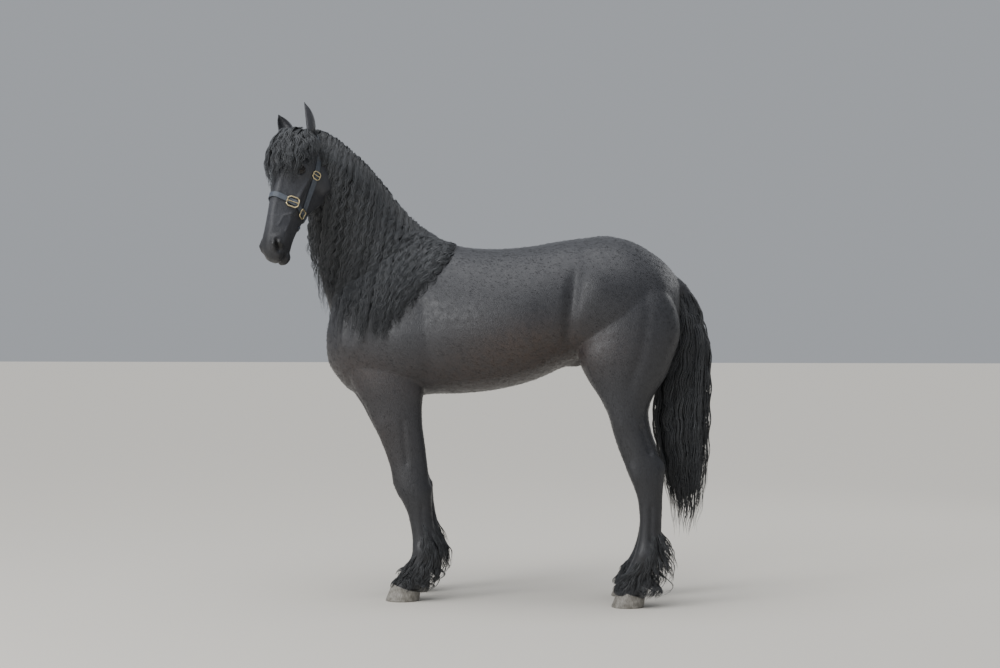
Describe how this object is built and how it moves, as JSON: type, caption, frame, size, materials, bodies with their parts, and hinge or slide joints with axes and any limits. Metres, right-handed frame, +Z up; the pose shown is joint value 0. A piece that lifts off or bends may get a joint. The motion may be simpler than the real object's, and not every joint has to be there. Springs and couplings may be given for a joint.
{
  "type": "friesian horse",
  "caption": "Black Friesian horse standing square, its head turned to the left, with a long wavy mane, forelock, tail and feather, wearing a flat halter.",
  "frame": {"origin": "on the floor under the middle of the bounding box of the whole horse", "axes": "+Z is up, the horse faces -X with its tail towards +X, and its left side is towards -Y"},
  "size_m": [1.9273, 0.9034, 2.2193],
  "materials": {
    "coat": "short glossy black hair with a soft grey sheen, long wavy mane, tail and feather",
    "hoof_horn": "pale grey horn with faint growth rings",
    "eye": "wet and glossy, nearly black",
    "halter_strap": "flat blue grey strap, satin, worn lighter along its edges",
    "halter_fittings": "polished pale brass"
  },
  "bodies": {
    "root": {"left_fore_upper_leg": "coat", "left_fore_lower_leg": "coat", "left_fore_hoof": "hoof_horn", "right_fore_upper_leg": "coat", "right_fore_lower_leg": "coat", "right_fore_hoof": "hoof_horn", "left_hind_upper_leg": "coat", "left_hind_lower_leg": "coat", "left_hind_hoof": "hoof_horn", "right_hind_upper_leg": "coat", "right_hind_lower_leg": "coat", "right_hind_hoof": "hoof_horn", "torso": "coat", "head": "coat", "neck": "coat", "halter_noseband": "halter_strap", "halter_crown_strap": "halter_strap", "halter_chin_strap": "halter_strap", "halter_nose_buckle": "halter_fittings", "halter_left_ring": "halter_fittings", "halter_right_ring": "halter_fittings", "left_ear": "coat", "right_ear": "coat", "left_eye": "eye", "right_eye": "eye", "tail": "coat"}
  },
  "joints": []
}
